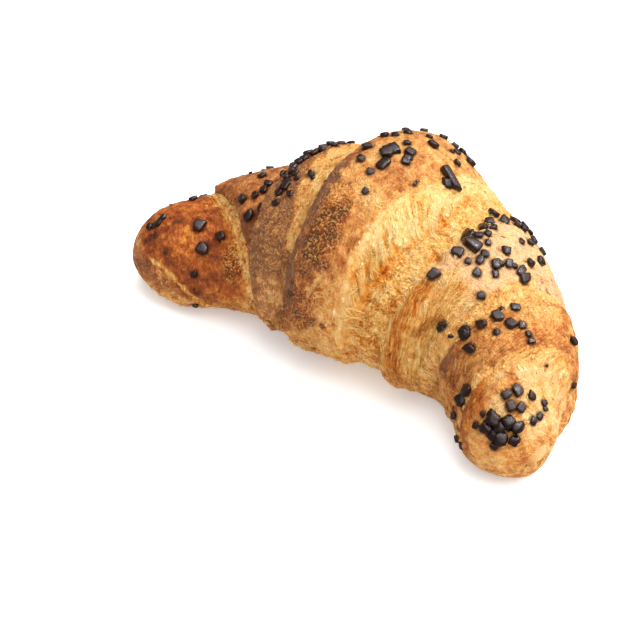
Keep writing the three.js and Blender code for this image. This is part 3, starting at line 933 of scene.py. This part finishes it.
def lump_shape(half_sizes, draw, squareness=5.0, cuts=2):
    """A broken piece: a rounded block, tapered, with a few corners split off."""
    power = (np.abs(BOX_POINTS) ** squareness).sum(1, keepdims=True) ** (1 / squareness)
    points = BOX_POINTS / power
    points[:, 0] *= 1 + draw.uniform(-0.22, 0.22) * points[:, 1]
    points[:, 1] *= 1 + draw.uniform(-0.22, 0.22) * points[:, 0]
    points[:, 2] *= 1 + draw.uniform(-0.25, 0.25) * points[:, 0]
    points[:, 0] += draw.uniform(-0.2, 0.2) * points[:, 1]
    for _ in range(cuts):
        facet = unit(draw.normal(size=3))
        over = np.maximum(points @ facet - draw.uniform(0.82, 1.0), 0)
        points = points - 0.85 * over[:, None] * facet
    points += 0.03 * noise(points * 1.7 + draw.uniform(0, 50, 3), 61)[:, None]
    return points * half_sizes


def seat(along, degrees):
    """Points, outward directions and directions along the body at these places."""
    angle = np.radians(degrees)
    point, here, _ = pastry(along, angle)
    ahead = pastry(np.minimum(along + 1.0, LENGTH_ALONG), angle)[0] - point
    level = ahead - (ahead * here.normal).sum(-1, keepdims=True) * here.normal
    return point, here.normal, unit(level)


def turned_frame(normal, ahead, yaw, tilt):
    """Three axes of a piece that lies on the surface, turned and tilted."""
    aside = np.cross(normal, ahead)
    first = math.cos(yaw) * ahead + math.sin(yaw) * aside
    up = unit(normal + tilt[0] * ahead + tilt[1] * aside)
    first = unit(first - (first @ up) * up)
    return np.stack([first, np.cross(up, first), up])


def hidden_chips(draw):
    """Chips over the bulging side, only where it is turned away from the camera."""
    chips = []
    for along, degrees, spread, turn, count in HIDDEN_CLUSTERS:
        for _ in range(count):
            chips.append((along + draw.normal() * spread * 0.6,
                          degrees + draw.normal() * turn * 0.6, draw.uniform(2.2, 3.4)))
    away = seat(*np.array(chips).T[:2])[1] @ np.array(direction(*CAMERA_DIRECTION)) < -0.15
    return [chip for chip, kept in zip(chips, away) if kept]


def lay_pieces(name, material, rows, shape_of):
    """One mesh of lumps laid on the pastry. A row is (along, degrees, ...), and shape_of
    turns the rest of it into points, lift, yaw and tilt. Returns where they lie."""
    along, degrees = np.array([row[:2] for row in rows], float).T
    seats = seat(along, degrees)
    lumps = []
    for row, point, normal, ahead in zip(rows, *seats):
        lump, lift, yaw, tilt = shape_of(*row[2:])
        lumps.append(lump @ turned_frame(normal, ahead, yaw, tilt) + point + normal * lift)
    faces = repeated(BOX_FACES, len(BOX_POINTS), len(lumps))
    make_piece(name, np.concatenate(lumps), faces, material)
    return seats[0]


def add_chips(draw, material):
    """The loose chocolate pieces, as one mesh. Returns their places and sizes."""
    def shape_of(width):
        half = width / 2 * np.array([1.0, draw.uniform(0.72, 0.98), draw.uniform(0.48, 0.66)])
        tilt = draw.normal(size=2) * 0.12
        yaw = draw.uniform(0, np.pi)
        lump = lump_shape(half, draw, draw.uniform(4.0, 7.0))
        return lump, half[2] * (1 - 2 * SUNK), yaw, tilt

    chips = SHOWN_CHIPS + hidden_chips(draw)
    return lay_pieces("chocolate_pieces", material, chips, shape_of), [chip[2] for chip in chips]


def add_chunks(draw, material):
    """The long bar and the two thick chunks."""
    def shape_of(half, yaw, tilt):
        return lump_shape(np.array(half), draw, 7.0, 1), half[2] * 0.55, yaw, tilt

    lay_pieces("chocolate_chunks", material, CHUNKS, shape_of)


def add_melted(draw, material):
    """Pieces that have softened, slumped and run together."""
    def shape_of(width, height):
        half = np.array([width / 2, width / 2 * draw.uniform(0.8, 1.0), height]) * 1.1
        yaw = draw.uniform(0, np.pi)
        tilt = draw.normal(size=2) * 0.1
        lump = lump_shape(half, draw, draw.uniform(2.2, 3.4), 3)
        dents = 0.22 * noise(lump / 0.8 + draw.uniform(0, 50, 3), 62)[:, None]
        return lump * (1 + dents), height * 0.25, yaw, tilt

    lay_pieces("melted_chocolate", material, MELTED_BLOBS, shape_of)


def stain_round(point, chips, sizes):
    """Dark halo that the chocolate leaves on the crust round each piece."""
    flat = point.reshape(-1, 3)
    stain = np.zeros(len(flat), dtype=np.float32)
    order = np.argsort(flat[:, 0])
    sorted_x = flat[order, 0]
    for centre, size in zip(chips, sizes):
        reach = size / 2 + HALO
        low, high = np.searchsorted(sorted_x, (centre[0] - reach, centre[0] + reach))
        near = order[low:high]
        far = np.linalg.norm(flat[near] - centre, axis=1)
        stain[near] = np.maximum(stain[near], smooth((reach - far) / HALO))
    return stain.reshape(point.shape[:-1])


# ---- loose fibres and flakes
def scattered(draw, count, likely):
    """Random places on the upper pastry, kept with the chance that likely gives: along,
    angle, radius of the body, looks and layer."""
    along = draw.uniform(3, LENGTH_ALONG - 3, count)
    angle = np.radians(draw.uniform(-118, 118, count))
    _, here, look = pastry(along, angle)
    kept = draw.uniform(size=count) < likely(here, look)
    look = {name: look[name][kept] for name in LOOKS}
    return along[kept], angle[kept], (here.arc / here.angle)[kept], look, here.index[kept]


def ribbons(paths, normals, width, thick):
    """Closed flat strips along paths (strip, step, xyz), as points and faces."""
    aside = unit(np.cross(normals, np.gradient(paths, axis=1)))
    taper = np.sin(np.linspace(0.12, np.pi - 0.12, paths.shape[1]))[None, :, None]
    over = normals * thick[:, None, None] * taper
    out = aside * width[:, None, None] * taper
    rings = np.stack([paths + out, paths + over, paths - out, paths - over], 2)
    index = np.arange(rings[..., 0].size).reshape(rings.shape[:3])
    ends = np.concatenate([index[:, 0], index[:, -1, ::-1]])
    return rings.reshape(-1, 3), [*quads(index, np.roll(index, -1, 2)).tolist(), *ends.tolist()]


FIBRES_TRIED = 16000
FIBRE_STEPS = 6


def add_fibres(draw, material):
    """Fine strands that stand a little proud of the torn and fluffy pastry."""
    def likely(here, look):
        fresh = smooth((0.46 - look["bake"]) / 0.3)
        woolly = 0.8 * look["fluff"] * smooth(look["fluff"] * 3)
        return fresh * (0.16 * look["fibre"] + woolly) + 0.35 * look["fleck"] ** 2

    along, angle, radius, look, index = scattered(draw, FIBRES_TRIED, likely)
    count = len(along)
    woolly = np.maximum(look["fluff"], look["fleck"])
    turn = draw.normal(size=count) * (0.25 + 1.1 * woolly) + 1.2 * look["fleck"]
    bend = draw.normal(size=count) * (0.2 + 1.6 * woolly)
    length = draw.uniform(1.2, 2.6, count) + 2.2 * (1 - woolly) * draw.uniform(0, 1, count)
    step = np.linspace(-0.5, 0.5, FIBRE_STEPS)[None]
    heading = np.arctan(-LEANS[index])[:, None] + turn[:, None] + bend[:, None] * step
    across = np.cumsum(np.sin(heading), 1) * length[:, None] / FIBRE_STEPS
    round_body = np.cumsum(np.cos(heading), 1) * length[:, None] / FIBRE_STEPS
    across = np.clip(along[:, None] + across - across.mean(1, keepdims=True), 1, LENGTH_ALONG - 1)
    round_body = (round_body - round_body.mean(1, keepdims=True)) / radius[:, None]
    point, path, _ = pastry(across, angle[:, None] + round_body)
    arch = draw.uniform(0.05, 0.55, count)[:, None] * np.cos(np.pi * step) - 0.06
    point = point + path.normal * arch[..., None]
    width = draw.uniform(0.07, 0.17, count)
    points, faces = ribbons(point, path.normal, width, width * draw.uniform(0.4, 0.8, count))
    bake = np.clip(look["bake"] * draw.uniform(0.35, 0.95, count), 0, 1)
    make_piece("loose_fibres", points, faces, material, bake=bake, fibre=0.4, gloss=0.3)


FLAKES_TRIED = 2600
FLAKE_GRID = (6, 4)
FLAKE_HALF_THICKNESS = 0.07


def add_flakes(draw, material):
    """Thin shards of crust, most of them lifted along one side."""
    def likely(here, look):
        near_edge = smooth(1 - np.minimum(here.past, here.left) / 4)
        rough = 0.08 + 0.35 * near_edge + 0.15 * look["fleck"] + 0.1 * look["fibre"]
        return rough * (here.along < LENGTH_ALONG - 9)

    along, angle, radius, look, _ = scattered(draw, FLAKES_TRIED, likely)
    along, angle, radius = (values[:, None, None] for values in (along, angle, radius))
    count = len(along)
    one = (count, 1, 1)
    u = np.linspace(-1, 1, FLAKE_GRID[0])[None, :, None]
    v = np.linspace(-1, 1, FLAKE_GRID[1])[None, None, :]
    length = draw.uniform(0.4, 1.3, one)
    width = draw.uniform(0.2, 0.55, one)
    uneven = draw.uniform(0.75, 1.25, (count, *FLAKE_GRID))
    turn = draw.normal(size=one) * 0.35
    shape_u = u * length * np.sqrt(1 - 0.6 * v ** 2) * uneven
    shape_v = v * width * np.sqrt(1 - 0.75 * u ** 2) * uneven
    along = np.clip(along + shape_v * np.cos(turn) - shape_u * np.sin(turn), 1, LENGTH_ALONG - 1)
    round_body = shape_u * np.cos(turn) + shape_v * np.sin(turn)
    point, path, _ = pastry(along, angle + round_body / radius)
    side = draw.choice([-1.0, 1.0], one)
    lift = draw.uniform(0.05, 0.45, one) * smooth(0.5 + 0.5 * side * v) ** 1.5
    sheets = [point + path.normal * (lift + thick)[..., None]
              for thick in (FLAKE_HALF_THICKNESS, -FLAKE_HALF_THICKNESS)]
    index = np.arange(u.size * v.size).reshape(FLAKE_GRID)
    top = quads(index[:, :-1], index[:, 1:])
    rim = np.concatenate([index[:-1, 0], index[-1, :-1], index[1:, -1][::-1], index[0, 1:][::-1]])
    beside = np.roll(rim, -1)
    rim_faces = np.stack([rim, beside, beside + index.size, rim + index.size], -1)
    flake = np.concatenate([top[:, ::-1], top + index.size, rim_faces])
    faces = repeated(flake, 2 * index.size, count)
    bake = np.clip(look["bake"] + draw.uniform(-0.14, 0.12, count), 0, 1)
    make_piece("loose_flakes", np.stack(sheets, 1).reshape(-1, 3), faces, material,
               bake=bake, fibre=look["fibre"], grey=look["grey"], gloss=0.5)


# Threads stretched across the tear, between (along, degrees) at either end.
TEAR_FROM = ((95.0, -72.0), (99.0, -90.0))
TEAR_TO = ((103.0, -64.0), (110.0, -88.0))
TEAR_THREADS = 15
THREAD_STEPS = 14


def add_threads(draw, material):
    """Long cream threads that still join the crown turn to the torn bed."""
    share = draw.uniform(0, 1, (TEAR_THREADS, 1))
    other = np.clip(share + draw.normal(size=share.shape) * 0.4, 0, 1)
    first, last = (np.array(ends[0]) + (np.array(ends[1]) - ends[0]) * at
                   for ends, at in ((TEAR_FROM, share), (TEAR_TO, other)))
    step = np.linspace(0, 1, THREAD_STEPS)[None, :, None]
    path = first[:, None] + (last - first)[:, None] * step
    path = path + draw.normal(size=(TEAR_THREADS, 1, 2)) * (0.5, 2.0) * np.sin(np.pi * step)
    point, here, _ = pastry(path[..., 0], np.radians(path[..., 1]))
    lifted = draw.uniform(0.1, 0.8, (TEAR_THREADS, 1, 1)) * np.sin(np.pi * step)
    width = draw.uniform(0.12, 0.26, TEAR_THREADS)
    points, faces = ribbons(point + here.normal * lifted, here.normal, width, width * 0.7)
    bake = draw.uniform(0.02, 0.18, TEAR_THREADS)
    make_piece("torn_threads", points, faces, material, bake=bake, amber=0.5, fibre=0.3)


# ---- scene
FLOOR_HALF_WIDTH = 3.0  # in metres


def add_floor():
    """A white floor that the crust doesn't mirror."""
    mesh = bpy.data.meshes.new("floor")
    corners = [(x * FLOOR_HALF_WIDTH, y * FLOOR_HALF_WIDTH, 0)
               for x, y in ((-1, -1), (1, -1), (1, 1), (-1, 1))]
    mesh.from_pydata(corners, [], [(0, 1, 2, 3)])
    mesh.materials.append(Nodes("floor_white").surface({
        "Base Color": (0.88, 0.92, 0.94, 1), "Roughness": 0.9,
        "Emission Color": (1, 1, 1, 1), "Emission Strength": 0.28,
    }))
    floor = add_object("floor", mesh)
    floor.visible_glossy = False


def add_camera():
    data = bpy.data.cameras.new("camera")
    data.lens = CAMERA_LENS
    data.sensor_width = 36
    back = direction(*CAMERA_DIRECTION)
    camera = add_object("camera", data)
    camera.location = Vector(CAMERA_TARGET) * MM + back * CAMERA_DISTANCE * MM
    camera.rotation_euler = back.to_track_quat("Z", "Y").to_euler()
    bpy.context.scene.camera = camera


def add_sun(name, azimuth, elevation, strength, spread, shine):
    data = bpy.data.lights.new(name, "SUN")
    data.energy = strength * math.pi
    data.angle = math.radians(spread)
    data.specular_factor = shine
    toward = direction(azimuth, elevation)
    add_object(name, data).rotation_euler = toward.to_track_quat("Z", "Y").to_euler()


def add_light():
    """Soft light from behind on the right, with a weak fill and a small key for shine."""
    world = bpy.data.worlds.new("studio")
    world.use_nodes = True
    background = world.node_tree.nodes["Background"]
    background.inputs["Color"].default_value = (1, 1, 1, 1)
    background.inputs["Strength"].default_value = 0.25
    bpy.context.scene.world = world
    add_sun("softbox", 146, 58, 1.05, 90, 0.6)
    add_sun("fill", 50, 64, 0.64, 90, 0.0)
    add_sun("key", 140, 56, 0.38, 8, 1.6)
    bpy.context.scene.view_settings.view_transform = "Standard"


draw = np.random.default_rng(7)
chocolate = chocolate_material("dark_chocolate", CHOCOLATE, 0.15)
melted = chocolate_material("melted_chocolate", MELTED, 0.12)
chip_places, chip_sizes = add_chips(draw, chocolate)
add_chunks(draw, chocolate)
add_melted(draw, melted)
pastry_look = pastry_material()
(point, here, look), cuts = body_grid()
look["stain"] = STAIN_STRENGTH * stain_round(point, chip_places, chip_sizes)
add_turns(point, here, look, cuts, pastry_look)
add_fibres(draw, pastry_look)
add_flakes(draw, pastry_look)
add_threads(draw, pastry_look)
add_floor()
add_light()
add_camera()
